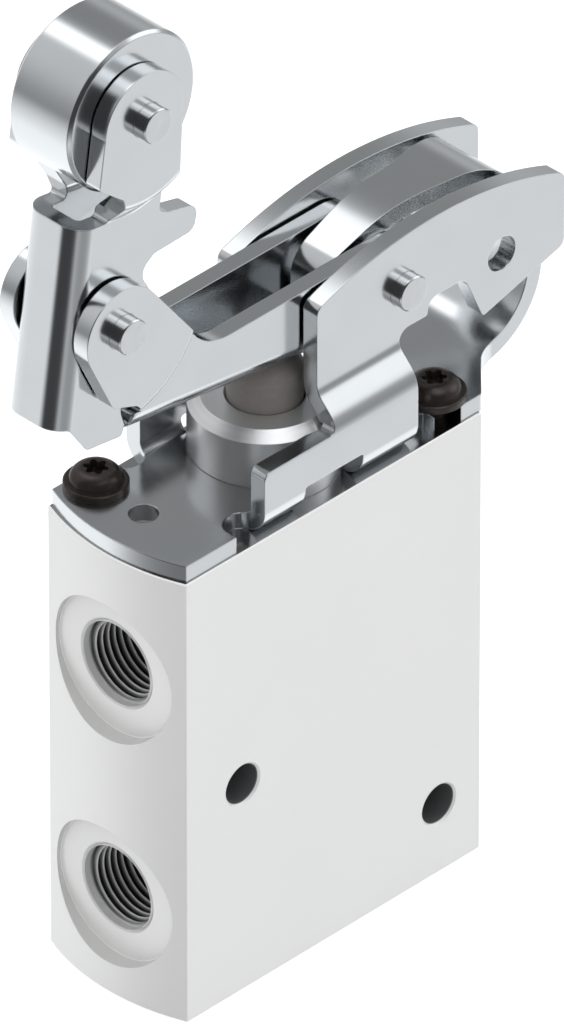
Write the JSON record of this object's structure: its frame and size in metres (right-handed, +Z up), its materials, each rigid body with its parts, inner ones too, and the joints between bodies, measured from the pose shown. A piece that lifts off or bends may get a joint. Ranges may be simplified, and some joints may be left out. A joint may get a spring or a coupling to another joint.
{
  "type": "roller lever air valve",
  "caption": "Block air valve with threaded side ports, opened by a plunger under a sprung lever that carries a folding roller arm.",
  "frame": {"origin": "centre of the valve body's flat base, on the axis of the plunger", "axes": "+Z up along the plunger, from the base to the roller; -X towards the side with the ports and the free end of the lever; Y across the body, along the pins"},
  "size_m": [0.0704, 0.0204, 0.1215],
  "materials": {
    "body_aluminium": "matt blasted and clear anodised",
    "plug_brass": "machined, nickel plated",
    "poppet_brass": "machined",
    "seal_rubber": "moulded nitrile rubber",
    "spring_steel": "drawn wire",
    "pin_steel": "ground",
    "turned_steel": "turned, fine rings",
    "plunger_plastic": "turned acetal",
    "sheet_steel": "cold rolled sheet, bright zinc plated",
    "bright_steel": "polished and bright plated",
    "screw_black": "black oxide",
    "bush_bronze": "sintered bronze"
  },
  "bodies": {
    "base": {"valve_body": "body_aluminium", "bottom_plug": "plug_brass", "bottom_plug_seal": "seal_rubber", "valve_seat": "poppet_brass", "valve_seat_seal": "seal_rubber", "spacer_sleeve": "poppet_brass", "stem_gland": "poppet_brass", "stem_seal": "seal_rubber", "plunger_guide": "turned_steel", "guide_seal": "seal_rubber", "mounting_bracket": "sheet_steel", "bracket_screws": "screw_black", "lever_pivot_pin": "pin_steel", "poppet_spring": "spring_steel", "plunger_spring": "spring_steel"},
    "plunger": {"plunger": "plunger_plastic", "exhaust_stem": "pin_steel"},
    "poppet": {"poppet": "poppet_brass", "poppet_seal": "seal_rubber"},
    "lever": {"main_lever": "bright_steel", "carrier_pin": "pin_steel"},
    "carrier": {"roller_carrier": "bright_steel", "roller_pin": "pin_steel", "carrier_spring": "spring_steel"},
    "roller": {"roller": "bright_steel", "roller_bush": "bush_bronze"}
  },
  "joints": [
    {"name": "lever_hinge", "type": "hinge", "parent": "base", "child": "lever", "pos_m": [0.013, 0, 0.074], "axis": [0, -1, 0], "range_deg": [0, 10.5], "stiffness_Nm_per_rad": 1.2, "springref_deg": -11.46},
    {"name": "plunger_slide", "type": "slide", "parent": "base", "child": "plunger", "axis": [0, 0, -1], "range_m": [0, 0.00231], "deforming": ["plunger_spring"]},
    {"name": "poppet_slide", "type": "slide", "parent": "base", "child": "poppet", "axis": [0, 0, -1], "range_m": [0, 0.00231], "deforming": ["poppet_spring"]},
    {"name": "carrier_tilt", "type": "hinge", "parent": "lever", "child": "carrier", "pos_m": [-0.0267, 0, 0.088], "axis": [0, 1, 0], "range_deg": [0, 50], "stiffness_Nm_per_rad": 0.05, "springref_deg": -34.38},
    {"name": "roller_spin", "type": "hinge", "parent": "carrier", "child": "roller", "pos_m": [-0.0233, 0, 0.11247], "axis": [0, 1, 0], "continuous": true}
  ],
  "couplings": [
    {"joint": "plunger_slide", "follows": "lever_hinge", "m_per_rad": 0.01257},
    {"joint": "poppet_slide", "follows": "lever_hinge", "m_per_rad": 0.01257}
  ]
}
